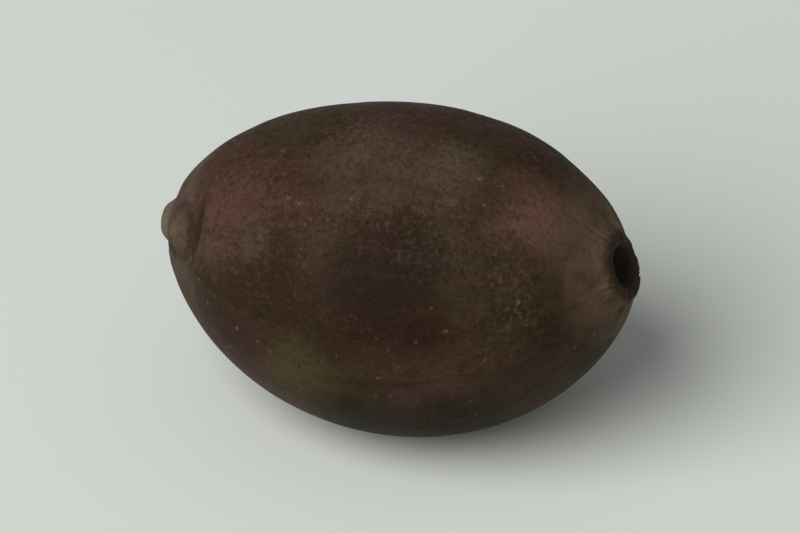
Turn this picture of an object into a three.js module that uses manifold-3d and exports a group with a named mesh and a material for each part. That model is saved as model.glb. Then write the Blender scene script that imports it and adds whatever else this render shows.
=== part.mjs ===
// A ripe lotus nut, dry and still in its hard shell, lying on its side.
// Millimetres, +Z up. X runs along the nut, from the style end to the stalk end.
// The origin lies under the middle of the nut, in the plane that it rests on.
// The shell closed as it grew and is shut all round, so the nut is one solid.

import * as THREE from "three";
import { ParametricGeometry } from "three/addons/geometries/ParametricGeometry.js";
import { mergeVertices } from "three/addons/utils/BufferGeometryUtils.js";
import Module from "manifold-3d";

// The body: an ellipsoid that is drawn in towards both ends
const BODY_LENGTH = 17.1;
const BODY_DIAMETER = 11.6;
const STALK_FULLNESS = 0.015; // the stalk end is fuller by this share, the style end slimmer
const STYLE_POINT = 0.16; // how far the style end leaves a round egg for a blunt point
const STALK_POINT = 0.14; // and the stalk end
const ARCH = 0.65; // both ends stand this far above the middle of the long axis
const OVALNESS = 0.012; // the cross-section is this much wider one way than the other
const OVAL_TURN = 0.5; // where the wide way points, in radians round the long axis
const SWELLING = 0.007; // broad shallow swellings that run slantwise over the shell

// What is left of the style: a low collar round a small hole, on the tip
const COLLAR_HEIGHT = 0.24;
const COLLAR_RADIUS = 0.8;
const STYLE_HOLE_RADIUS = 0.4;
const STYLE_HOLE_DEPTH = 0.45;
const MOAT_RADIUS = 1.2; // a shallow dip follows the foot of the collar
const MOAT_DEPTH = 0.07;

// The small round bump that every lotus nut has beside its style
const BUMP_ALONG = 0.52; // polar angle from the style end, in radians
const BUMP_TURN = 2.6; // angle round the long axis: on the -Y side, facing partly up
const BUMP_RADIUS = 0.8;
const BUMP_HEIGHT = 0.27;

// The stalk scar: a raised ring round a small pit, on the other end
const SCAR_ASIDE = -0.2; // its middle lies this far off the long axis along Y
const SCAR_RISE = 1.0; // and this far along Z
const SCAR_RING_RADIUS = 1.1;
const SCAR_RING_HEIGHT = 0.2;
const SCAR_RING_WIDTH = 0.32;
const SCAR_PIT_RADIUS = 0.78;
const SCAR_PIT_DEPTH = 0.42;

// How the nut lies: the style end hangs a little, and the lowest spot is worn flat
const REST_PITCH = -0.045; // radians
const FLAT_DEPTH = 0.15;

// How finely the surface is divided
const STEPS_AROUND = 54;
const STEPS_ALONG = 54;
const END_CROWDING = 0.62; // steps along are this much closer at both ends
const BUMP_CROWDING = 0.45; // and steps around are this much closer at the bump
const SAME_POINT = 1e-4;

const HALF_LENGTH = BODY_LENGTH / 2;
const HALF_DIAMETER = BODY_DIAMETER / 2;

// 1 inside the inner radius, 0 outside the outer one, with a soft shoulder between
function plateau(distance, inner, outer) {
  return 1 - THREE.MathUtils.smoothstep(distance, inner, outer);
}

// A soft ridge of the given width that follows a circle
function ridge(distance, radius, width) {
  return Math.exp(-(((distance - radius) / width) ** 2));
}

// The smooth egg before any detail. along goes from 0 at the style end to PI at the stalk end.
function eggPoint(along, turn, target) {
  const x = -Math.cos(along);
  const wave = Math.sin(3 * turn + 2.5 * along) + Math.sin(2 * turn - 4 * along + 1);
  const uneven = OVALNESS * Math.cos(2 * (turn - OVAL_TURN)) + SWELLING * wave;
  const taper = 1 + STYLE_POINT * ((1 - x) / 2) ** 2 + STALK_POINT * ((1 + x) / 2) ** 2;
  const girth = Math.sin(along) ** taper * (1 + STALK_FULLNESS * x) * (1 + uneven * Math.sin(along));
  const radius = HALF_DIAMETER * girth;
  const lift = ARCH * x * x;
  return target.set(HALF_LENGTH * x, radius * Math.cos(turn), radius * Math.sin(turn) + lift);
}

// How far the remains of the style and the stalk scar stand out along the axis
function styleRelief(distance) {
  const collar = COLLAR_HEIGHT * plateau(distance, 0.6 * COLLAR_RADIUS, 1.15 * COLLAR_RADIUS);
  const hole = STYLE_HOLE_DEPTH * plateau(distance, 0.3 * STYLE_HOLE_RADIUS, STYLE_HOLE_RADIUS);
  return collar - hole - MOAT_DEPTH * ridge(distance, MOAT_RADIUS, 0.25 * MOAT_RADIUS);
}

function scarRelief(distance) {
  const ring = SCAR_RING_HEIGHT * ridge(distance, SCAR_RING_RADIUS, SCAR_RING_WIDTH);
  return ring - SCAR_PIT_DEPTH * plateau(distance, 0.4 * SCAR_PIT_RADIUS, SCAR_PIT_RADIUS);
}

const bumpFoot = eggPoint(BUMP_ALONG, BUMP_TURN, new THREE.Vector3());
const bumpFacing = new THREE.Vector3(
  -Math.cos(BUMP_ALONG) * HALF_DIAMETER,
  Math.sin(BUMP_ALONG) * HALF_LENGTH * Math.cos(BUMP_TURN),
  Math.sin(BUMP_ALONG) * HALF_LENGTH * Math.sin(BUMP_TURN),
).normalize();

// The finished surface. around and forward both run from 0 to 1.
function shellPoint(around, forward, target) {
  const round = 2 * Math.PI * around;
  const turn = BUMP_TURN + round - BUMP_CROWDING * Math.sin(round);
  const spread = (END_CROWDING * Math.sin(2 * Math.PI * forward)) / 2;
  const along = Math.PI * forward - spread;
  eggPoint(along, turn, target);
  const fromStyle = Math.hypot(target.y, target.z - ARCH);
  const fromScar = Math.hypot(target.y - SCAR_ASIDE, target.z - ARCH - SCAR_RISE);
  const fromBump = target.distanceTo(bumpFoot);
  if (target.x < 0) target.x -= styleRelief(fromStyle);
  else target.x += scarRelief(fromScar);
  const mound = BUMP_HEIGHT * plateau(fromBump, 0.15 * BUMP_RADIUS, BUMP_RADIUS);
  return target.addScaledVector(bumpFacing, mound);
}

const wasm = await Module();
wasm.setup();

function toSolid(geometry) {
  geometry.deleteAttribute("normal");
  geometry.deleteAttribute("uv");
  const merged = mergeVertices(geometry, SAME_POINT);
  const vertProperties = merged.attributes.position.array;
  const triVerts = new Uint32Array(merged.index.array);
  return new wasm.Manifold(new wasm.Mesh({ numProp: 3, vertProperties, triVerts }));
}

function toGeometry(solid) {
  const { vertProperties, triVerts } = solid.getMesh();
  const geometry = new THREE.BufferGeometry();
  geometry.setAttribute("position", new THREE.BufferAttribute(vertProperties, 3));
  geometry.setIndex(new THREE.BufferAttribute(triVerts, 1));
  geometry.computeVertexNormals();
  return geometry;
}

// Lays the shell down with its lowest spot just below the plane it rests on
function layDown(geometry) {
  geometry.rotateY(REST_PITCH);
  geometry.computeBoundingBox();
  const { min, max } = geometry.boundingBox;
  return geometry.translate(-(min.x + max.x) / 2, -(min.y + max.y) / 2, -min.z - FLAT_DEPTH);
}

const shell = layDown(new ParametricGeometry(shellPoint, STEPS_AROUND, STEPS_ALONG));
const below = new THREE.BoxGeometry(2 * BODY_LENGTH, 2 * BODY_DIAMETER, BODY_DIAMETER);
below.translate(0, 0, -BODY_DIAMETER / 2);

const pericarp = new THREE.MeshStandardMaterial({
  color: 0x4a3d33,
  roughness: 0.72,
  metalness: 0,
});

const nut = new THREE.Mesh(toGeometry(toSolid(shell).subtract(toSolid(below))), pericarp);
nut.name = "lotus_seed";

const group = new THREE.Group();
group.add(nut);

export default group;
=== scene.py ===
# %% [markdown]
# A lotus seed in its shell
# The ripe nut of the lotus dries into a hard, dark, egg-shaped shell that never opens by itself.
# One end keeps a low collar where the style stood, with a small round bump beside it. The other
# end keeps the scar of the stalk. The nut lies on its side, as it does when it is dropped.
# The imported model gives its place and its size. This script gives it its surface.

# %% Load the fixed frame
import math

import bpy
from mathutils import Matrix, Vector


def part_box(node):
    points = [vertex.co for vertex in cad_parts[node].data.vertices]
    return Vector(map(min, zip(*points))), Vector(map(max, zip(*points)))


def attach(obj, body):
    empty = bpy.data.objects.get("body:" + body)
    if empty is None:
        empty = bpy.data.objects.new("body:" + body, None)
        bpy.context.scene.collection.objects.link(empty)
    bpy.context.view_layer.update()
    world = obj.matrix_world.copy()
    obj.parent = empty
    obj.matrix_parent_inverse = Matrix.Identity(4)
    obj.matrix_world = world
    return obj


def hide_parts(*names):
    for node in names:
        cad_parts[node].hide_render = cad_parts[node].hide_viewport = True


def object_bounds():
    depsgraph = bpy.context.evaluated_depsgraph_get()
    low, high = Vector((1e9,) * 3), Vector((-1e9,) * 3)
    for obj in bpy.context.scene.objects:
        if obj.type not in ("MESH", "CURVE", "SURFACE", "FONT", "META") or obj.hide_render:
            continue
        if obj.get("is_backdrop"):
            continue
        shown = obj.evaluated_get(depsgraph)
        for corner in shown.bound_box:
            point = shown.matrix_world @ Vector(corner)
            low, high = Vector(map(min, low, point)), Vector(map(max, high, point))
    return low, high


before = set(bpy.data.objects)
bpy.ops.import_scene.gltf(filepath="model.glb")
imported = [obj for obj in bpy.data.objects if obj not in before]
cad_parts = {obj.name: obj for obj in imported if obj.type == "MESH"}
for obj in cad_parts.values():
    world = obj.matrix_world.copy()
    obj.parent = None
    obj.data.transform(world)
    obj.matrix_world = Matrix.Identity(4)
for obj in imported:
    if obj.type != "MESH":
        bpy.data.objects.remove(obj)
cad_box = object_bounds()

MM = 0.001  # Blender works in metres here, and the nut is measured in millimetres
cad_low, cad_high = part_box("lotus_seed")
print("size of the packed nut in mm:", [round(side / MM, 2) for side in cad_high - cad_low])

# %% [markdown]
# How nodes are added
# A tree of nodes can be drawn by hand or written. Written, it can be read line by line, so one
# small function adds a node, sets it and links it. Inputs are given in order, or by name where a
# node has many. A socket is linked and a number is typed in, as one would do with the mouse.

# %% One function that adds a node
def add(tree, kind, inputs=(), **settings):
    """Adds a node to the tree and returns the first of its outputs."""
    node = tree.nodes.new(kind)
    for name, value in settings.items():
        setattr(node, name, value)
    shown = [socket for socket in node.inputs if socket.enabled]
    keyed = inputs if isinstance(inputs, dict) else dict(enumerate(inputs))
    for key, value in keyed.items():
        socket = shown[key] if isinstance(key, int) else next(s for s in shown if s.name == key)
        if isinstance(value, bpy.types.NodeSocket):
            tree.links.new(value, socket)
        else:
            socket.default_value = value
    return next(socket for socket in node.outputs if socket.enabled)


# %% One function that starts a tree
def new_tree(name, kinds_in, kinds_out):
    """A tree of geometry nodes with named inputs and outputs, and the sockets of both."""
    tree = bpy.data.node_groups.new(name, "GeometryNodeTree")
    for label, kind in kinds_in.items():
        tree.interface.new_socket(label, in_out="INPUT", socket_type=kind)
    for label, kind in kinds_out.items():
        tree.interface.new_socket(label, in_out="OUTPUT", socket_type=kind)
    given = tree.nodes.new("NodeGroupInput").outputs
    wanted = tree.nodes.new("NodeGroupOutput").inputs
    return tree, given, wanted


# %% [markdown]
# The body
# A nut is an egg: an ellipsoid that is drawn in to a blunt point towards the style and the stalk.
# It could be pushed into shape from a sphere by hand. But every egg follows a rule, so the rule
# is written once as a group of nodes: give it a direction from the middle, and it answers with
# the point of the shell that lies that way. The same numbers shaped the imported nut.

# %% The sizes of the egg
MATH = "ShaderNodeMath"
SPLIT = "ShaderNodeSeparateXYZ"
JOIN = "ShaderNodeCombineXYZ"
EGG = {
    "Body Length": 17.1 * MM,
    "Body Diameter": 11.6 * MM,
    "Stalk Fullness": 0.015,
    "Style Point": 0.16,
    "Stalk Point": 0.14,
    "Arch": 0.65 * MM,
    "Ovalness": 0.012,
    "Oval Turn": 0.5,
    "Swelling": 0.007,
}
# Two slow waves swell the shell: how often each goes round the nut, how fast it turns from end
# to end, and where the second one starts
WAVE_ROUND, WAVE_ALONG = 3.0, 2.5
BACK_ROUND, BACK_ALONG, BACK_START = 2.0, -4.0, 1.0
print("sizes in the egg rule:", ", ".join(EGG))

# %% The egg as a rule
def egg_rule():
    """The group of nodes that turns a direction into a point of the smooth egg."""
    kinds = {"Direction": "NodeSocketVector"} | dict.fromkeys(EGG, "NodeSocketFloat")
    tree, given, wanted = new_tree("egg rule", kinds, {"Point": "NodeSocketVector"})
    x, y, z = add(tree, SPLIT, [given["Direction"]]).node.outputs

    # Angle from the style end, its sine, and the angle round the long axis
    minus_x = add(tree, MATH, [x, -1.0], operation="MULTIPLY")
    along = add(tree, MATH, [minus_x], operation="ARCCOSINE")
    sine = add(tree, MATH, [along], operation="SINE")
    turn = add(tree, MATH, [z, y], operation="ARCTAN2")

    # The two waves run slantwise over the shell, and one way across is a little wider
    start = add(tree, MATH, [along, WAVE_ALONG], operation="MULTIPLY")
    slant = add(tree, MATH, [turn, WAVE_ROUND, start], operation="MULTIPLY_ADD")
    back_start = add(tree, MATH, [along, BACK_ALONG, BACK_START], operation="MULTIPLY_ADD")
    back = add(tree, MATH, [turn, BACK_ROUND, back_start], operation="MULTIPLY_ADD")
    waves = add(tree, MATH, [add(tree, MATH, [slant], operation="SINE"),
                             add(tree, MATH, [back], operation="SINE")], operation="ADD")
    from_wide = add(tree, MATH, [turn, given["Oval Turn"]], operation="SUBTRACT")
    twice = add(tree, MATH, [from_wide, 2.0], operation="MULTIPLY")
    oval = add(tree, MATH, [twice], operation="COSINE")
    swell = add(tree, MATH, [waves, given["Swelling"]], operation="MULTIPLY")
    uneven = add(tree, MATH, [oval, given["Ovalness"], swell], operation="MULTIPLY_ADD")

    # The girth at this place along the nut
    taper = 1.0
    for side, name in ((-0.5, "Style Point"), (0.5, "Stalk Point")):
        share = add(tree, MATH, [x, side, 0.5], operation="MULTIPLY_ADD")
        squared = add(tree, MATH, [share, 2.0], operation="POWER")
        taper = add(tree, MATH, [squared, given[name], taper], operation="MULTIPLY_ADD")
    round_part = add(tree, MATH, [sine, taper], operation="POWER")
    full_part = add(tree, MATH, [x, given["Stalk Fullness"], 1.0], operation="MULTIPLY_ADD")
    uneven_part = add(tree, MATH, [uneven, sine, 1.0], operation="MULTIPLY_ADD")
    smooth_girth = add(tree, MATH, [round_part, full_part], operation="MULTIPLY")
    girth = add(tree, MATH, [smooth_girth, uneven_part], operation="MULTIPLY")

    # The point itself. Both ends stand a little above the middle.
    radius = add(tree, MATH, [given["Body Diameter"], 0.5], operation="MULTIPLY")
    reach = add(tree, MATH, [given["Body Length"], 0.5], operation="MULTIPLY")
    across = add(tree, MATH, [girth, radius], operation="MULTIPLY")
    x_squared = add(tree, MATH, [x, 2.0], operation="POWER")
    lift = add(tree, MATH, [x_squared, given["Arch"]], operation="MULTIPLY")
    point_x = add(tree, MATH, [x, reach], operation="MULTIPLY")
    cosine_turn = add(tree, MATH, [turn], operation="COSINE")
    sine_turn = add(tree, MATH, [turn], operation="SINE")
    point_y = add(tree, MATH, [across, cosine_turn], operation="MULTIPLY")
    point_z = add(tree, MATH, [across, sine_turn, lift], operation="MULTIPLY_ADD")
    tree.links.new(add(tree, JOIN, [point_x, point_y, point_z]), wanted["Point"])
    return tree


egg_nodes = egg_rule()
print("nodes in the egg rule:", len(egg_nodes.nodes))

# %% [markdown]
# The ball that it starts from
# The rule needs directions, evenly spread. A sphere has them, but its rings crowd at two poles,
# and those would lie just where the collar and the scar are. So a cube is cut into small squares
# and blown up to a ball, which has no poles. Then its points are drawn a little towards both
# ends, because that is where the small forms are.

# %% The ball, crowded towards both ends
VECTOR_MATH = "ShaderNodeVectorMath"
MESHING = {"End Crowding": 0.3}
SIDE_VERTICES = 127  # along each edge of the cube
ACROSS = (0.0, 1.0, 1.0)  # keeps only what lies across the nut, whose long axis is X


def ball_direction(tree, crowding):
    """The direction of each point of the cube, pulled a little towards the nearer end."""
    place = tree.nodes.new("GeometryNodeInputPosition").outputs[0]
    angles = add(tree, VECTOR_MATH, {"Vector": place, "Scale": math.pi / 4}, operation="SCALE")
    evened = add(tree, VECTOR_MATH, [angles], operation="TANGENT")
    ball = add(tree, VECTOR_MATH, [evened], operation="NORMALIZE")
    minus_x = add(tree, MATH, [add(tree, SPLIT, [ball]), -1.0], operation="MULTIPLY")
    along = add(tree, MATH, [minus_x], operation="ARCCOSINE")
    doubled = add(tree, MATH, [along, 2.0], operation="MULTIPLY")
    wave = add(tree, MATH, [doubled], operation="SINE")
    pull = add(tree, MATH, [crowding, -0.5], operation="MULTIPLY")
    crowded = add(tree, MATH, [wave, pull, along], operation="MULTIPLY_ADD")
    cosine = add(tree, MATH, [crowded], operation="COSINE")
    sine = add(tree, MATH, [crowded], operation="SINE")
    flat = add(tree, VECTOR_MATH, [ball, ACROSS], operation="MULTIPLY")
    around = add(tree, VECTOR_MATH, [flat], operation="NORMALIZE")
    sideways = add(tree, VECTOR_MATH, {"Vector": around, "Scale": sine}, operation="SCALE")
    forwards = add(tree, JOIN, [add(tree, MATH, [cosine, -1.0], operation="MULTIPLY")])
    return add(tree, VECTOR_MATH, [sideways, forwards], operation="ADD")


print("squares on each side of the cube:", (SIDE_VERTICES - 1) ** 2)

# %% [markdown]
# The two ends and the bump
# The collar and its hole are what is left of the style, and the ring and its pit are the scar of
# the stalk. Such marks could be sculpted one by one. But all of them are round, so each is a soft
# ridge or a flat top that is raised by how far a point lies from the middle of the mark. That
# way their sizes can be read and changed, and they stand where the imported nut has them.

# %% Sizes of the ends and the bump
ENDS = {
    "Collar Height": 0.24 * MM,
    "Collar Radius": 0.8 * MM,
    "Hole Radius": 0.4 * MM,
    "Hole Depth": 0.45 * MM,
    "Moat Radius": 1.2 * MM,
    "Moat Width": 0.3 * MM,
    "Moat Depth": 0.07 * MM,
    "Scar Aside": -0.2 * MM,
    "Scar Rise": 1.0 * MM,
    "Scar Ring Radius": 1.1 * MM,
    "Scar Ring Width": 0.32 * MM,
    "Scar Ring Height": 0.2 * MM,
    "Scar Pit Radius": 0.78 * MM,
    "Scar Pit Depth": 0.42 * MM,
    "Bump Radius": 0.8 * MM,
    "Bump Height": 0.27 * MM,
}
# Where the side of each flat top begins and where its foot is, as shares of its radius
COLLAR_SIDE = (0.6, 1.15)
HOLE_SIDE = (0.3, 1.0)
PIT_SIDE = (0.4, 1.0)
BUMP_SIDE = (0.15, 1.0)
BUMP_ALONG = 0.52  # angle from the style end, in radians
BUMP_TURN = 2.6  # angle round the long axis
BUMP_WAY = (
    -math.cos(BUMP_ALONG),
    math.sin(BUMP_ALONG) * math.cos(BUMP_TURN),
    math.sin(BUMP_ALONG) * math.sin(BUMP_TURN),
)
print("the bump lies towards", [round(part, 2) for part in BUMP_WAY])

# %% Ridges, flat tops and distances
RANGE = "ShaderNodeMapRange"
SOFTLY = {"interpolation_type": "SMOOTHSTEP"}  # such a range eases in and out, with no hard edge
RIDGE_REACH = 1.7  # a soft ridge ends this many widths from its crest


def ridge(tree, distance, radius, width, height):
    """A soft ridge of that height along a circle round the middle that distance starts from."""
    off = add(tree, MATH, [distance, radius], operation="SUBTRACT")
    beside = add(tree, MATH, [off], operation="ABSOLUTE")
    reach = add(tree, MATH, [width, RIDGE_REACH], operation="MULTIPLY")
    return add(tree, RANGE, [beside, 0.0, reach, height, 0.0], **SOFTLY)


def plateau(tree, distance, radius, side, height):
    """A flat top of that height, whose side falls softly between two shares of the radius."""
    edge, foot = [add(tree, MATH, [radius, share], operation="MULTIPLY") for share in side]
    return add(tree, RANGE, [distance, edge, foot, height, 0.0], **SOFTLY)


def across_from(tree, point, middle):
    """How far the point lies from a line through the middle that runs along the nut."""
    offset = add(tree, VECTOR_MATH, [point, middle], operation="SUBTRACT")
    flat = add(tree, VECTOR_MATH, [offset, ACROSS], operation="MULTIPLY")
    return add(tree, VECTOR_MATH, [flat], operation="LENGTH")


# %% How the ends and the bump are raised
SWITCH = "GeometryNodeSwitch"


def end_relief(tree, given, at_style, from_style, from_scar):
    """How far each point near an end moves along the nut, away from the style end."""
    collar = plateau(tree, from_style, given["Collar Radius"], COLLAR_SIDE, given["Collar Height"])
    hole = plateau(tree, from_style, given["Hole Radius"], HOLE_SIDE, given["Hole Depth"])
    moat = ridge(tree, from_style, given["Moat Radius"], given["Moat Width"], given["Moat Depth"])
    hollows = add(tree, MATH, [hole, moat], operation="ADD")
    style_end = add(tree, MATH, [hollows, collar], operation="SUBTRACT")
    ring = ridge(tree, from_scar, given["Scar Ring Radius"], given["Scar Ring Width"],
                 given["Scar Ring Height"])
    pit = plateau(tree, from_scar, given["Scar Pit Radius"], PIT_SIDE, given["Scar Pit Depth"])
    stalk_end = add(tree, MATH, [ring, pit], operation="SUBTRACT")
    forwards = add(tree, SWITCH, [at_style, stalk_end, style_end], input_type="FLOAT")
    return add(tree, JOIN, [forwards])


def bump_relief(tree, given, from_bump):
    """How far each point moves for the bump, which stands square to the shell."""
    squashed = add(tree, JOIN, [given["Body Diameter"], given["Body Length"], given["Body Length"]])
    leaning = add(tree, VECTOR_MATH, [given["Bump Way"], squashed], operation="MULTIPLY")
    facing = add(tree, VECTOR_MATH, [leaning], operation="NORMALIZE")
    mound = plateau(tree, from_bump, given["Bump Radius"], BUMP_SIDE, given["Bump Height"])
    return add(tree, VECTOR_MATH, {"Vector": facing, "Scale": mound}, operation="SCALE")


# %% [markdown]
# A place on the unrolled shell
# Folds and streaks run from end to end, as the shell grew, and gather at the scar. A picture
# wrapped round the nut would need a seam, and noise in plain space would cut straight through it.
# So each point is given a place on a tube as long as the shell is along its surface. A tube
# closes on itself and has no seam, and noise that is stretched along it follows the shell.

# %% The shell as a tube
# The tube bends to the scar between these shares of the half length, and by this much of the way
# that the scar lies aside
BEND_START, BEND_END, BEND = 0.3, 0.95, 1.2


def unrolled_place(tree, given, way):
    """The place of each point on a tube as long as the shell is along its surface."""
    x = add(tree, SPLIT, [way])
    minus_x = add(tree, MATH, [x, -1.0], operation="MULTIPLY")
    angle = add(tree, MATH, [minus_x], operation="ARCCOSINE")
    half_length = add(tree, MATH, [given["Body Length"], 0.5], operation="MULTIPLY")
    half_width = add(tree, MATH, [given["Body Diameter"], 0.5], operation="MULTIPLY")
    arc = add(tree, MATH, [angle, half_length], operation="MULTIPLY")

    # The end of the tube bends to the scar, so that folds and streaks run out from its middle
    scar = add(tree, JOIN, {"Y": given["Scar Aside"], "Z": given["Scar Rise"]})
    bend = add(tree, RANGE, [x, BEND_START, BEND_END, 0.0, BEND], **SOFTLY)
    share = add(tree, MATH, [bend, half_width], operation="DIVIDE")
    shift = add(tree, VECTOR_MATH, {"Vector": scar, "Scale": share}, operation="SCALE")
    from_line = add(tree, VECTOR_MATH, [way, shift], operation="SUBTRACT")
    aside = add(tree, VECTOR_MATH, [from_line, ACROSS], operation="MULTIPLY")
    around = add(tree, VECTOR_MATH, [aside], operation="NORMALIZE")
    circle = add(tree, VECTOR_MATH, {"Vector": around, "Scale": half_width}, operation="SCALE")
    return add(tree, VECTOR_MATH, [circle, add(tree, JOIN, [arc])], operation="ADD")


# %% [markdown]
# Dents, dimples, puckers and a crease
# A nut shrinks as it dries. Its wall sinks in shallow dents, puckers at both ends like a drawn
# purse, and creases where it gave way. All this could be left to the shading, but then the edge
# of the nut would stay as smooth as glass. So the mesh itself is pressed in, by noise of the
# right size. It only ever goes inwards, so the nut keeps the size that it was packed with.

# %% Sizes of the fine relief
RELIEF = {
    "Skin Depth": 0.012 * MM,
    "Dent Size": 4.0 * MM,
    "Dent Depth": 0.1 * MM,
    "Dimple Size": 0.8 * MM,
    "Dimple Depth": 0.03 * MM,
    "Pucker Width": 0.8 * MM,
    "Pucker Depth": 0.1 * MM,
    "Pucker Reach": 3.2 * MM,
    "Pucker Start": 1.5 * MM,
    "Crease Radius": 4.0 * MM,
    "Crease Width": 0.14 * MM,
    "Crease Depth": 0.06 * MM,
    "Crease Reach": 2.6 * MM,
    "Crease Waver": 1.0 * MM,
    "Seed": 7.0,
}
CREASE_MIDDLE = (-6.3 * MM, -2.9 * MM, 7.8 * MM)
DENT_NOISE = (0.5, 0.75)  # the noise where a dent begins, and where it is deepest
FOLD_NOISE = (0.45, 0.7)  # and the same for the folds of a pucker
FOLD_STRETCH = (0.08, 1.0, 1.0)  # folds are some twelve times as long as they are wide
DIMPLE_SHARE = 0.6  # a dimple fills this much of its cell
depths = [depth for name, depth in RELIEF.items() if name.endswith("Depth")]
print("all the depths of the fine relief together, in mm:", round(sum(depths) / MM, 3))

# %% Shallow dents, dimples, puckers and a crease
NOISE = "ShaderNodeTexNoise"
CELLS = "ShaderNodeTexVoronoi"
STORED = "GeometryNodeInputNamedAttribute"  # what an earlier node kept on each point


def random_field(tree, given, where, size, kind=NOISE, **settings):
    """Noise or cells of that size, picked by the seed of the tree."""
    dimensions = "noise_dimensions" if kind == NOISE else "voronoi_dimensions"
    scale = add(tree, MATH, [1.0, size], operation="DIVIDE")
    return add(tree, kind, {"Vector": where, "W": given["Seed"], "Scale": scale} | settings,
               **{dimensions: "4D"})


def crease_depth(tree, given, place):
    """A short crease that wavers along a circle round the style end, where the shell gave way."""
    waver = random_field(tree, given, place, given["Dent Size"], Detail=1.0)
    from_style = add(tree, STORED, {"Name": "style_distance"})
    distance = add(tree, MATH, [waver, given["Crease Waver"], from_style],
                   operation="MULTIPLY_ADD")
    away = add(tree, VECTOR_MATH, [place, given["Crease Middle"]], operation="DISTANCE")
    depth = add(tree, RANGE, [away, 0.0, given["Crease Reach"], given["Crease Depth"], 0.0],
                **SOFTLY)
    return ridge(tree, distance, given["Crease Radius"], given["Crease Width"], depth)


def pucker_depth(tree, given):
    """Folds that run out from both ends, and fade at the very middle of each."""
    unrolled = add(tree, STORED, {"Name": "unrolled"}, data_type="FLOAT_VECTOR")
    stretched = add(tree, VECTOR_MATH, [unrolled, FOLD_STRETCH], operation="MULTIPLY")
    folds = random_field(tree, given, stretched, given["Pucker Width"], Detail=1.0)
    fold = add(tree, RANGE, [folds, *FOLD_NOISE, 0.0, given["Pucker Depth"]], **SOFTLY)
    from_style = add(tree, STORED, {"Name": "style_distance"})
    from_scar = add(tree, STORED, {"Name": "scar_distance"})
    nearest = add(tree, MATH, [from_style, from_scar], operation="MINIMUM")
    near_end = add(tree, RANGE, [nearest, 0.0, given["Pucker Reach"], 1.0, 0.0], **SOFTLY)
    apart = add(tree, RANGE, [nearest, 0.0, given["Pucker Start"], 0.0, 1.0], **SOFTLY)
    pucker = add(tree, MATH, [fold, apart], operation="MULTIPLY")
    return add(tree, MATH, [pucker, near_end], operation="MULTIPLY")


def fine_relief(tree, given, place):
    """How deep each point of the shell lies below the smooth egg."""
    dents = random_field(tree, given, place, given["Dent Size"], Detail=1.0)
    dent = add(tree, RANGE, [dents, *DENT_NOISE, 0.0, given["Dent Depth"]], **SOFTLY)
    cells = random_field(tree, given, place, given["Dimple Size"], CELLS)
    dimple = add(tree, RANGE, [cells, 0.0, DIMPLE_SHARE, given["Dimple Depth"], 0.0], **SOFTLY)
    crease = add(tree, STORED, {"Name": "crease"})
    depth = add(tree, MATH, [pucker_depth(tree, given), given["Skin Depth"]], operation="ADD")
    for more in (dent, dimple, crease):
        depth = add(tree, MATH, [depth, more], operation="ADD")
    return depth


# %% [markdown]
# The whole nut as one tree
# Now the parts are put together, with every size as a named input. The tree measures while the
# nut is still upright and keeps the distances on its points, because the relief and the finish
# ask for them later. It then turns the nut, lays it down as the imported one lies, presses in the
# fine relief, and lets nothing reach below the floor. That makes the flat spot it rests on.

# %% Laid down over the origin, its lowest spot just below the floor
SET_POSITION = "GeometryNodeSetPosition"
LYING = {"Rest Pitch": -0.045, "Flat Depth": 0.15 * MM}


def lay_down(tree, given, shape, place):
    """Moves the shape so that its box stands over the origin and the floor cuts its lowest spot."""
    reach = add(tree, "GeometryNodeAttributeStatistic", {"Geometry": shape, "Attribute": place},
                data_type="FLOAT_VECTOR").node.outputs
    low, high = [socket for socket in reach if socket.enabled and socket.name in ("Min", "Max")]
    both = add(tree, VECTOR_MATH, [low, high], operation="ADD")
    middle = add(tree, VECTOR_MATH, [both, (-0.5, -0.5, 0.0)], operation="MULTIPLY")
    lowest = add(tree, SPLIT, [low]).node.outputs["Z"]
    sunk = add(tree, MATH, [lowest, given["Flat Depth"]], operation="ADD")
    down = add(tree, JOIN, {"Z": add(tree, MATH, [sunk, -1.0], operation="MULTIPLY")})
    laid = add(tree, VECTOR_MATH, [middle, down], operation="ADD")
    return add(tree, SET_POSITION, {"Geometry": shape, "Offset": laid})


print("the style end hangs by", round(-math.degrees(LYING["Rest Pitch"]), 1), "degrees")

# %% The nut as one tree
STORE = "GeometryNodeStoreNamedAttribute"
FAR = 1.0  # metres: a distance that stands for the other end of the nut
FLOOR_LIMIT = (-1.0, -1.0, 0.0)  # metres: no lower than the floor, anywhere on it


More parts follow.
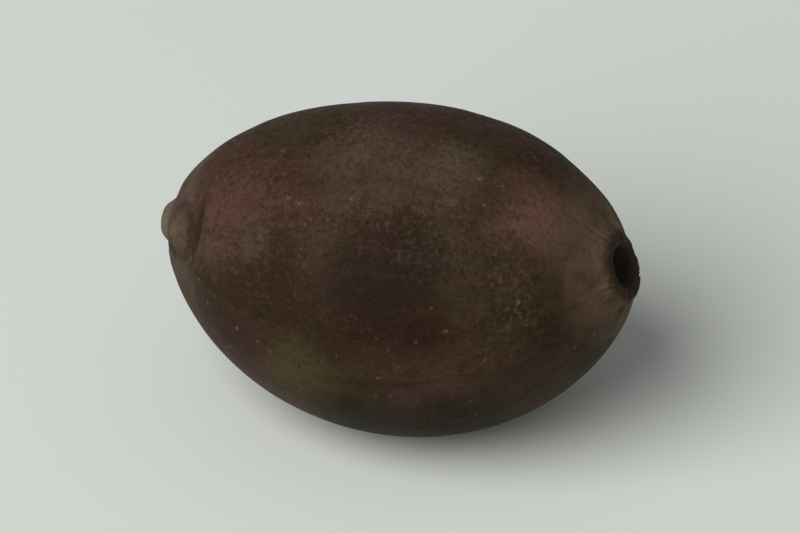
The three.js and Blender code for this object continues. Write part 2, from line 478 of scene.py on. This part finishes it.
def nut_rule():
    """The tree that makes the whole nut, with every size as a named input."""
    kinds = dict.fromkeys(EGG | MESHING | ENDS | LYING | RELIEF, "NodeSocketFloat")
    kinds |= dict.fromkeys(["Bump Way", "Crease Middle"], "NodeSocketVector")
    kinds["Finish"] = "NodeSocketMaterial"
    tree, given, wanted = new_tree("lotus nut", kinds, {"Nut": "NodeSocketGeometry"})
    egg_sizes = {name: given[name] for name in EGG}
    sides = dict.fromkeys(["Vertices X", "Vertices Y", "Vertices Z"], SIDE_VERTICES)
    shape = add(tree, "GeometryNodeMeshCube", {"Size": (2.0, 2.0, 2.0)} | sides)

    # The smooth egg, and how far each point is from what stands on it
    way = ball_direction(tree, given["End Crowding"])
    point = add(tree, "GeometryNodeGroup", {"Direction": way} | egg_sizes, node_tree=egg_nodes)
    foot = add(tree, "GeometryNodeGroup", {"Direction": given["Bump Way"]} | egg_sizes,
               node_tree=egg_nodes)
    axis = add(tree, JOIN, {"Z": given["Arch"]})
    scar_height = add(tree, MATH, [given["Arch"], given["Scar Rise"]], operation="ADD")
    scar_middle = add(tree, JOIN, {"Y": given["Scar Aside"], "Z": scar_height})
    from_style = across_from(tree, point, axis)
    from_scar = across_from(tree, point, scar_middle)
    from_bump = add(tree, VECTOR_MATH, [point, foot], operation="DISTANCE")
    at_style = add(tree, MATH, [add(tree, SPLIT, [point]), 0.0], operation="LESS_THAN")

    # What each point keeps for the relief and the finish
    distances = {
        "style_distance": add(tree, SWITCH, [at_style, FAR, from_style], input_type="FLOAT"),
        "scar_distance": add(tree, SWITCH, [at_style, from_scar, FAR], input_type="FLOAT"),
        "bump_distance": from_bump,
    }
    for name, distance in distances.items():
        shape = add(tree, STORE, {"Geometry": shape, "Name": name, "Value": distance})
    unrolled = unrolled_place(tree, given, way)
    shape = add(tree, STORE, {"Geometry": shape, "Name": "unrolled", "Value": unrolled},
                data_type="FLOAT_VECTOR")

    # The ends and the bump raised on it, then turned and laid down
    raised = add(tree, VECTOR_MATH, [end_relief(tree, given, at_style, from_style, from_scar),
                                     bump_relief(tree, given, from_bump)], operation="ADD")
    shaped = add(tree, VECTOR_MATH, [point, raised], operation="ADD")
    pitched = add(tree, "ShaderNodeVectorRotate", {"Vector": shaped, "Angle": given["Rest Pitch"]},
                  rotation_type="Y_AXIS")
    shape = add(tree, SET_POSITION, {"Geometry": shape, "Position": pitched})
    place = tree.nodes.new("GeometryNodeInputPosition").outputs[0]
    shape = lay_down(tree, given, shape, place)

    # Fine relief, always inwards, and the flat spot, because nothing reaches below the floor
    crease = crease_depth(tree, given, place)
    shape = add(tree, STORE, {"Geometry": shape, "Name": "crease", "Value": crease})
    hollow = fine_relief(tree, given, place)
    shape = add(tree, STORE, {"Geometry": shape, "Name": "hollow", "Value": hollow})
    normal = tree.nodes.new("GeometryNodeInputNormal").outputs[0]
    inwards = add(tree, MATH, [add(tree, STORED, {"Name": "hollow"}), -1.0], operation="MULTIPLY")
    sink = add(tree, VECTOR_MATH, {"Vector": normal, "Scale": inwards}, operation="SCALE")
    shape = add(tree, SET_POSITION, {"Geometry": shape, "Offset": sink})
    on_floor = add(tree, VECTOR_MATH, [place, FLOOR_LIMIT], operation="MAXIMUM")
    shape = add(tree, SET_POSITION, {"Geometry": shape, "Position": on_floor})
    shape = add(tree, "GeometryNodeSetShadeSmooth", {"Geometry": shape})
    shape = add(tree, "GeometryNodeRealizeInstances", {"Geometry": shape})
    shape = add(tree, "GeometryNodeSetMaterial", {"Geometry": shape, "Material": given["Finish"]})
    tree.links.new(shape, wanted["Nut"])
    return tree


nut_nodes = nut_rule()
print("nodes in the tree of the nut:", len(nut_nodes.nodes))

# %% [markdown]
# Colours
# The colours are given as sRGB hex values, the way a paint program shows them. A shader
# works with the amount of light instead, so one function turns the first into the second.

# %% One function for colours
def linear(hex_colour):
    """An sRGB hex colour as the linear numbers that a shader takes."""
    parts = [int(hex_colour[at:at + 2], 16) / 255 for at in (1, 3, 5)]
    light = [part / 12.92 if part <= 0.04045 else ((part + 0.055) / 1.055) ** 2.4 for part in parts]
    return (*light, 1.0)


# %% [markdown]
# The finish, layer by layer
# The shell is a wall of packed stone cells, the pericarp. Its skin is dark brown and pitted so
# finely that it looks matt, and nothing on it is one even colour. One brown with some noise in it
# would look like plastic. So the finish is laid on mostly as the real one came about: the brown of
# the skin in broad clouds, patches among which are painted shade and a painted sheen, streaks from
# end to end, leathery grain with pores, dust that is also a painted sheen on the top, and last the
# scars. Each layer is a colour and one or more masks that say where it lies.

# %% The material, and what it can ask of the nut
pericarp = bpy.data.materials.new("lotus pericarp")  # hard and woody: matt, dark, slightly dusty
pericarp.use_nodes = True
finish = pericarp.node_tree
finish.nodes.clear()
place = finish.nodes.new("ShaderNodeTexCoord").outputs["Object"]
kept = {name: add(finish, "ShaderNodeAttribute", attribute_name=name).node.outputs["Fac"]
        for name in ("style_distance", "scar_distance", "bump_distance", "crease", "hollow")}
unrolled = add(finish, "ShaderNodeAttribute", attribute_name="unrolled").node.outputs["Vector"]
print("the finish can ask each point for:", ", ".join([*kept, "unrolled"]))

# %% Masks and layers
MIX = "ShaderNodeMix"


def clouds(size, low, high, most=1.0, detail=3.0, where=place, shift=0.0):
    """A mask of clouds that many mm wide: nothing where the noise is low, most where it is high."""
    noise = add(finish, NOISE, {"Vector": where, "W": shift, "Scale": 1 / (size * MM),
                                "Detail": detail}, noise_dimensions="4D")
    return add(finish, RANGE, [noise, low, high, 0.0, most], **SOFTLY)


def over(under, colour, *masks):
    """Lays a colour over another where all of its masks agree.

    A mask is a socket, a number, or a soft fade: the value that it follows, where it starts and
    ends on that value, and how strong it is at its start and at its end.
    """
    amounts = [add(finish, RANGE, mask, **SOFTLY) if isinstance(mask, tuple) else mask
               for mask in masks]
    amount = amounts[0]
    for more in amounts[1:]:
        amount = add(finish, MATH, [amount, more], operation="MULTIPLY")
    return add(finish, MIX, {"Factor": amount, "A": under, "B": colour}, data_type="RGBA")


# %% The brown of the skin, in broad clouds
UMBER = linear("#37291b")
PLUM = linear("#402a22")
OLIVE = linear("#322917")
STONE = linear("#3e3224")
skin = over(UMBER, PLUM, clouds(4.5, 0.42, 0.62, shift=1.0))
skin = over(skin, OLIVE, clouds(3.8, 0.52, 0.68, most=0.55, shift=2.0))
skin = over(skin, STONE, clouds(3.0, 0.5, 0.66, most=0.7, shift=3.0))
print("umber as a shader takes it:", [round(part, 3) for part in UMBER])

# %% [markdown]
# The patches of this nut
# A nut is redder where it dried in the sun. The dark patches over its middle, its lower front and
# its left are painted shade, where less light reaches, the dark olive along its lower edge is
# partly painted shade, and the grey patches on its top are its bloom of wax and a painted sheen.
# Noise would put such patches anywhere, so the ones that this nut shows are placed one by one, by a
# point on the shell and how far they reach. Each point of the skin is led astray by a noise before
# it is measured, so that no patch ends in a circle.

# %% Patches: the point in millimetres, the reach in millimetres, colour and strength
BLUSH = linear("#52382f")
ROSE = linear("#5f423b")
# Grey of the bloom. On the top of the nut its two wide patches are also a painted sheen, where the
# top catches the light
ASH_AND_PAINTED_SHEEN = linear("#4b3e34")
# Painted shade: it darkens the middle, the lower front and the left of the nut, where less light
# reaches
PAINTED_SHADE = linear("#201106")
OCHRE = linear("#3f381e")
# Dark olive, and painted shade along the lower edge where the nut meets the floor
MOSS_AND_PAINTED_SHADE = linear("#1c1707")
PATCHES = [
    ((-5.4, -3.0, 8.6), 2.6, BLUSH, 0.65),
    ((5.4, -1.6, 10.0), 2.2, ROSE, 0.9),
    ((2.4, -1.4, 11.0), 1.9, ASH_AND_PAINTED_SHEEN, 0.85),
    ((-0.5, -1.5, 11.1), 3.0, ASH_AND_PAINTED_SHEEN, 0.65),
    ((-3.4, -4.5, 8.0), 2.8, PAINTED_SHADE, 0.6),
    ((-4.2, -3.9, 8.5), 1.0, ASH_AND_PAINTED_SHEEN, 0.5),
    ((0.8, -4.4, 9.4), 2.6, PAINTED_SHADE, 0.7),
    ((1.4, -5.2, 7.8), 3.6, PAINTED_SHADE, 0.9),
    ((-1.6, -5.6, 6.5), 3.0, PAINTED_SHADE, 0.6),
    ((-5.0, -4.5, 5.5), 2.4, PAINTED_SHADE, 0.55),
    ((6.5, -3.1, 7.5), 2.0, PAINTED_SHADE, 0.4),
    ((-2.0, -5.4, 4.1), 2.4, OCHRE, 0.85),
    ((0.2, -5.7, 4.0), 1.8, OCHRE, 0.4),
    ((2.9, -5.4, 4.8), 2.4, BLUSH, 0.35),
    ((0.4, -5.3, 2.7), 3.0, MOSS_AND_PAINTED_SHADE, 0.9),
    ((3.4, -4.7, 2.6), 3.0, MOSS_AND_PAINTED_SHADE, 0.9),
]
FULL_SHARE = 0.2  # a patch is at its full strength out to this share of its reach
STRAY_SIZE = 2.0  # mm across, the size of the noise that leads a point astray
STRAYING = 2.5  # mm, and how far it can lead it

# %% The patches laid on
strays = add(finish, NOISE, {"Vector": place, "Scale": 1 / (STRAY_SIZE * MM), "Detail": 3.0})
stray = add(finish, VECTOR_MATH, [strays.node.outputs["Color"], (0.5, 0.5, 0.5)],
            operation="SUBTRACT")
astray = add(finish, VECTOR_MATH, [stray, (STRAYING * MM,) * 3, place], operation="MULTIPLY_ADD")
for spot, reach, colour, strength in PATCHES:
    patch_middle = tuple(value * MM for value in spot)
    away = add(finish, VECTOR_MATH, [astray, patch_middle], operation="DISTANCE")
    skin = over(skin, colour, (away, FULL_SHARE * reach * MM, reach * MM, strength, 0.0))
print("patches placed by hand:", len(PATCHES))

# %% [markdown]
# Mottling and streaks
# Under the patches the brown is mottled, and faint streaks run from end to end, as the cells of
# the wall are drawn out that way. They could be painted on by hand, but nobody would paint them
# all round. Noise does it. For the streaks it is read on the unrolled shell and stretched along
# it, so that they follow the nut and meet at both ends.

# %% Mottling, and faint streaks from end to end
DARK = linear("#1f150b")
STREAK_WIDTH = 0.7  # mm
STREAK_STRETCH = (0.07, 1.0, 1.0)  # streaks are some fourteen times as long as they are wide
lengthwise = add(finish, VECTOR_MATH, [unrolled, STREAK_STRETCH], operation="MULTIPLY")
skin = over(skin, DARK, clouds(1.1, 0.5, 0.72, most=0.35, detail=4.0, shift=4.0))
skin = over(skin, DARK, clouds(STREAK_WIDTH, 0.5, 0.75, 0.4, detail=2.0, where=lengthwise,
                               shift=5.0))
skin = over(skin, STONE, clouds(0.5, 0.5, 0.75, 0.3, detail=2.0, where=lengthwise, shift=6.0))
print("length of the wide streaks in mm:", round(STREAK_WIDTH / STREAK_STRETCH[0]))

# %% [markdown]
# Leathery grain with pores
# Close up, the shell is like fine leather, full of the pits through which the young fruit
# breathed. As holes in the mesh they would need millions of faces. So grain and pores are drawn in
# the finish: they darken the skin here, and further on the same two patterns roughen it.

# %% Leathery grain with pores in it
PORE = linear("#1a120c")
GRAIN_SIZE = 0.2  # mm
PORE_SPACING = 0.15  # mm
PORE_SHARE = 0.75  # this share of the places for a pore has one
# The real pits are some 0.03 mm across, too fine to show here, so they are drawn up to 0.11 mm
PORE_LEAST, PORE_MOST = 0.02, 0.055  # mm from the middle to the edge


def spots(spacing, share, least, most, shift=0.0):
    """A mask of round spots in that share of the cells. Spacing and radii are in mm."""
    where = add(finish, VECTOR_MATH, [place, (shift * MM,) * 3], operation="ADD")
    cells = add(finish, CELLS, {"Vector": where, "Scale": 1 / (spacing * MM)})
    chance = add(finish, "ShaderNodeSeparateColor", [cells.node.outputs["Color"]])
    reach = add(finish, RANGE, [chance, 1 - share, 1.0, least / spacing, most / spacing])
    there = add(finish, MATH, [chance, 1 - share], operation="GREATER_THAN")
    full = add(finish, MATH, [reach, 0.5], operation="MULTIPLY")  # out to half its reach
    return add(finish, RANGE, [cells, full, reach, there, 0.0], **SOFTLY)


leather = add(finish, NOISE, {"Vector": place, "Scale": 1 / (GRAIN_SIZE * MM), "Detail": 5.0,
                              "Roughness": 0.65})
skin = over(skin, DARK, (leather, 0.34, 0.52, 0.45, 0.0))
pore = spots(PORE_SPACING, PORE_SHARE, PORE_LEAST, PORE_MOST)
skin = over(skin, PORE, pore, 0.2)
print("pores on a square millimetre, about:", round(PORE_SHARE / PORE_SPACING ** 2))

# %% [markdown]
# Dust, bloom and a painted sheen
# A dry nut is dusty where dust can lie: on its upper side, and most of all in its hollows. The grey
# that lies more thickly on its upper side is also a painted sheen, where the top catches the light.
# Flecks of its grey bloom of wax are left here and there as well. A grey laid evenly over it all
# would turn the brown into mud, so the dust asks each point how hollow and how high it is.

# %% Dust and a painted sheen on the upper side, most dust in the hollows, and flecks of bloom
BLOOM = linear("#685b4d")
HOLLOW_START, HOLLOW_FULL = 0.02, 0.12  # mm deep, between which more and more dust lies
UPPER_START, UPPER_FULL = 5.0, 9.5  # mm above the floor, and the same for the upper side
LEAST_DUST = 0.25  # the share of it that lies outside the hollows, and on the lower side
settled = add(finish, RANGE, [kept["hollow"], HOLLOW_START * MM, HOLLOW_FULL * MM,
                              LEAST_DUST, 1.0])
above_floor = add(finish, SPLIT, [place]).node.outputs["Z"]
# Greyer towards the top: dust that settles there, and a painted sheen where the top catches the
# light
upper_dust_and_sheen = add(finish, RANGE, [above_floor, UPPER_START * MM, UPPER_FULL * MM, LEAST_DUST, 1.0],
            **SOFTLY)
dusty = add(finish, MATH, [clouds(2.6, 0.3, 0.65, detail=6.0, shift=7.0), settled],
            operation="MULTIPLY")
dust_and_sheen = add(finish, MATH, [dusty, upper_dust_and_sheen], operation="MULTIPLY")
skin = over(skin, BLOOM, dust_and_sheen, (leather, 0.5, 0.66, 0.0, 0.7))
skin = over(skin, BLOOM, spots(0.45, 0.4, 0.04, 0.14, shift=3.0), (leather, 0.45, 0.6, 0.0, 0.6))
print("share of the dust outside the hollows of the lower side:", LEAST_DUST ** 2)

# %% [markdown]
# The two ends
# Round the stalk scar the skin is worn to a paler tan, while the scar itself is torn bark: dark,
# with a darker pit. Round the style the skin is dusty and grey, and a short crease lies beside it.
# The collar is paler, its hole is dark, and the bump beside it is rubbed to a dull tan on its top.
# All this could be painted by hand, but each band is round and follows its mark, so it is laid by
# the distance that the nut keeps on its points. A little noise added to it tears the edges.

# %% The stalk end
TAN = linear("#5e4b3b")
BARK = linear("#2c2017")
HOLE = linear("#130c08")
SCAR_TEAR = 0.5  # mm that the grain moves an edge
ragged = add(finish, MATH, [leather, SCAR_TEAR * MM, kept["scar_distance"]],
             operation="MULTIPLY_ADD")
# The widest tan is broken up by clouds, and the bands on it run from the outside in
skin = over(skin, TAN, (ragged, 1.7 * MM, 3.6 * MM, 0.85, 0.0), clouds(0.8, 0.3, 0.55, shift=9.0))
# Each band: its colour, where it is full and where it ends in millimetres, and its strength
for colour, full, end, strength in ((TAN, 2.2, 3.4, 0.3), (BARK, 1.3, 1.65, 0.85),
                                    (HOLE, 0.75, 1.1, 0.85)):
    skin = over(skin, colour, (ragged, full * MM, end * MM, strength, 0.0))
print("nodes in the finish so far:", len(finish.nodes))

# %% The style end
PALE = linear("#6a6053")
STYLE_TEAR = 2.4  # mm that the noise of the patches moves an edge
from_style = kept["style_distance"]
uneven_style = add(finish, MATH, [strays, STYLE_TEAR * MM, from_style], operation="MULTIPLY_ADD")
# From the outside in: the dusty grey round the style, the crease darkened with painted shade, the
# collar and its hole
skin = over(skin, PALE, (uneven_style, 3.2 * MM, 4.8 * MM, 0.3, 0.0),
            clouds(1.2, 0.3, 0.6, detail=5.0, shift=10.0))
skin = over(skin, DARK, (kept["crease"], 0.01 * MM, 0.05 * MM, 0.0, 0.7))
skin = over(skin, PALE, (from_style, 0.75 * MM, 1.05 * MM, 0.6, 0.0))
skin = over(skin, HOLE, (from_style, 0.28 * MM, 0.46 * MM, 1.0, 0.0))
print("nodes in the finish so far:", len(finish.nodes))

# %% The bump, with a dark line of painted shade round its foot
from_bump = kept["bump_distance"]
skin = over(skin, TAN, (from_bump, 0.1 * MM, 0.85 * MM, 0.75, 0.0), (leather, 0.35, 0.6, 0.3, 1.0))
# The dark line round its foot is painted shade, where the foot of the bump lies in shade
skin = over(skin, DARK, (from_bump, 0.55 * MM, 0.9 * MM, 0.0, 1.0),
            (from_bump, 0.95 * MM, 1.3 * MM, 1.0, 0.0), clouds(0.5, 0.3, 0.6, 0.6, shift=10.0))
print("nodes in the finish so far:", len(finish.nodes))

# %% [markdown]
# How it meets the light
# The real shell has hardly any gloss, because its pits scatter what a smooth wall would mirror.
# Pits that fine could be modelled, but the shader can stand for them: a high roughness, more of it
# under the dust, and a bump from the grain and the pores that breaks up what gloss is left.

# %% Roughness, fine relief and the shader
PORE_DROP = -0.6  # how far a pore goes down, where the grain goes up by 1 at most
GRAIN_HEIGHT = 0.06  # mm
CLEAN_ROUGHNESS, DUSTY_ROUGHNESS = 0.52, 0.75
DUST_FULL = 0.6  # from this much dust on, the skin is as rough as dust is
height = add(finish, MATH, [pore, PORE_DROP, leather], operation="MULTIPLY_ADD")
rough_skin = add(finish, "ShaderNodeBump", {"Strength": 0.8, "Distance": GRAIN_HEIGHT * MM,
                                            "Height": height})
dull = add(finish, RANGE, [dust_and_sheen, 0.0, DUST_FULL, CLEAN_ROUGHNESS, DUSTY_ROUGHNESS])
# A smooth shell would mirror some 4 per cent of the light. The pits swallow most of that.
shader = add(finish, "ShaderNodeBsdfPrincipled", {
    "Base Color": skin,
    "Roughness": dull,
    "Normal": rough_skin,
    "IOR": 1.5,
    "Specular IOR Level": 0.07,
})
output = finish.nodes.new("ShaderNodeOutputMaterial")
finish.links.new(shader, output.inputs["Surface"])
print("nodes in the whole finish:", len(finish.nodes))

# %% [markdown]
# From the tree to a mesh
# A modifier runs the tree. Each of its inputs is set by the socket's own identifier, because two
# sockets may share a name. The evaluated result is then kept as a plain mesh, so that what is
# rendered and measured is the same thing.

# %% Run the tree and keep its mesh
def run_tree(tree, inputs):
    """A plain mesh of what the tree makes with these inputs."""
    start = bpy.data.objects.new("nut maker", bpy.data.meshes.new("nothing yet"))
    bpy.context.scene.collection.objects.link(start)
    maker = start.modifiers.new("nut", "NODES")
    maker.node_group = tree
    sockets = [item for item in tree.interface.items_tree if item.in_out == "INPUT"]
    for socket in sockets:
        maker[socket.identifier] = inputs[socket.name]
    bpy.context.view_layer.update()
    ready = start.evaluated_get(bpy.context.evaluated_depsgraph_get())
    mesh = bpy.data.meshes.new_from_object(ready)
    start.modifiers.remove(maker)
    bpy.data.objects.remove(start)
    return mesh


sizes_in = EGG | MESHING | ENDS | LYING | RELIEF
places_in = {"Bump Way": BUMP_WAY, "Crease Middle": CREASE_MIDDLE}
nut_mesh = run_tree(nut_nodes, sizes_in | places_in | {"Finish": pericarp})
nut = bpy.data.objects.new("lotus_nut", nut_mesh)
bpy.context.scene.collection.objects.link(nut)
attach(nut, "root")
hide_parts("lotus_seed")
nut_mesh.calc_loop_triangles()
print("triangles in the nut:", len(nut_mesh.loop_triangles))

# %% [markdown]
# The floor and the light
# The nut lies on a plain pale floor. The light is what one big soft box gives from the front left,
# less than halfway up, with weaker light from all round. It reaches in under the front of the nut
# and leaves a soft shadow behind it and on the right, and the pale floor throws some light back up.

# %% Floor
FLOOR_HALF = 1.5  # metres


def floor_finish():
    """Matt painted board: pale, even and without gloss."""
    material = bpy.data.materials.new("matt pale board")
    material.use_nodes = True
    shader = material.node_tree.nodes["Principled BSDF"]
    shader.inputs["Base Color"].default_value = linear("#d8dcd6")
    shader.inputs["Roughness"].default_value = 0.9
    shader.inputs["Specular IOR Level"].default_value = 0.2
    return material


corners = [(-FLOOR_HALF, -FLOOR_HALF, 0), (FLOOR_HALF, -FLOOR_HALF, 0),
           (FLOOR_HALF, FLOOR_HALF, 0), (-FLOOR_HALF, FLOOR_HALF, 0)]
floor_mesh = bpy.data.meshes.new("floor")
floor_mesh.from_pydata(corners, [], [(0, 1, 2, 3)])
floor_mesh.materials.append(floor_finish())
floor = bpy.data.objects.new("floor", floor_mesh)
bpy.context.scene.collection.objects.link(floor)
floor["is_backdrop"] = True
print("side of the floor in metres:", 2 * FLOOR_HALF)

# %% Where lamps and camera stand
middle = (cad_low + cad_high) / 2


def direction(azimuth, elevation):
    """The way from the nut to a place seen at these angles, in degrees. Azimuth 0 is in front."""
    side, height = math.radians(azimuth), math.radians(elevation)
    return Vector((math.sin(side) * math.cos(height), -math.cos(side) * math.cos(height),
                   math.sin(height)))


def aim(thing, stand, target):
    """Puts a lamp or the camera where it stands, looking at the target."""
    thing.location = stand
    thing.rotation_euler = (target - stand).to_track_quat("-Z", "Y").to_euler()


print("lamp and camera look at, in mm:", [round(value / MM, 2) for value in middle])

# %% Light
LAMP_AZIMUTH = -30
LAMP_ELEVATION = 42
LAMP_DISTANCE = 0.55  # metres
LAMP_WIDTH = 0.6  # metres
LAMP_POWER = 3.85  # watts
ROOM_LIGHT = 0.27  # strength of the light from all round

box_light = bpy.data.lights.new("soft box", "AREA")
box_light.shape = "DISK"
box_light.size = LAMP_WIDTH
box_light.energy = LAMP_POWER
box_lamp = bpy.data.objects.new("soft box", box_light)
box_lamp.visible_camera = False
bpy.context.scene.collection.objects.link(box_lamp)
aim(box_lamp, middle + LAMP_DISTANCE * direction(LAMP_AZIMUTH, LAMP_ELEVATION), middle)

world = bpy.data.worlds.new("pale room")
bpy.context.scene.world = world
world.use_nodes = True
world.node_tree.nodes["Background"].inputs["Color"].default_value = linear("#f4f6f5")
world.node_tree.nodes["Background"].inputs["Strength"].default_value = ROOM_LIGHT
print("the lamp stands at, in metres:", [round(value, 2) for value in box_lamp.location])

# %% [markdown]
# The camera
# It looks from the side on which the stalk end is nearer, 35 degrees above the floor. A long lens
# from a distance keeps the small nut free of wide-angle stretching.

# %% Camera
CAMERA_AZIMUTH = 18
CAMERA_ELEVATION = 35
LENS = 400.0  # millimetres, on a sensor 36 mm wide
SENSOR = 36.0
SHOWN_WIDTH = 28.0 * MM  # how much of the floor the picture spans
NEAREST, FARTHEST = 0.01, 10.0  # metres, between which the camera sees
camera_data = bpy.data.cameras.new("camera")
camera_data.lens = LENS
camera_data.sensor_width = SENSOR
camera = bpy.data.objects.new("camera", camera_data)
bpy.context.scene.collection.objects.link(camera)
distance = SHOWN_WIDTH * LENS / SENSOR
aim(camera, middle + distance * direction(CAMERA_AZIMUTH, CAMERA_ELEVATION), middle)
camera_data.clip_start = NEAREST
camera_data.clip_end = FARTHEST
bpy.context.scene.camera = camera
bpy.context.scene.view_settings.view_transform = "Standard"
print("camera distance in mm:", round(distance / MM))

# %% [markdown]
# A last measurement
# What is seen must be as large as what was packed, or the nut would not fit where the library puts
# it. Looking doesn't tell a tenth of a millimetre, so both boxes are measured and printed.

# %% Measure both sizes and finish
seen_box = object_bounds()
for name, (low, high) in (("packed", cad_box), ("seen", seen_box)):
    print(name, [round(value / MM, 3) for value in (*low, *high)])
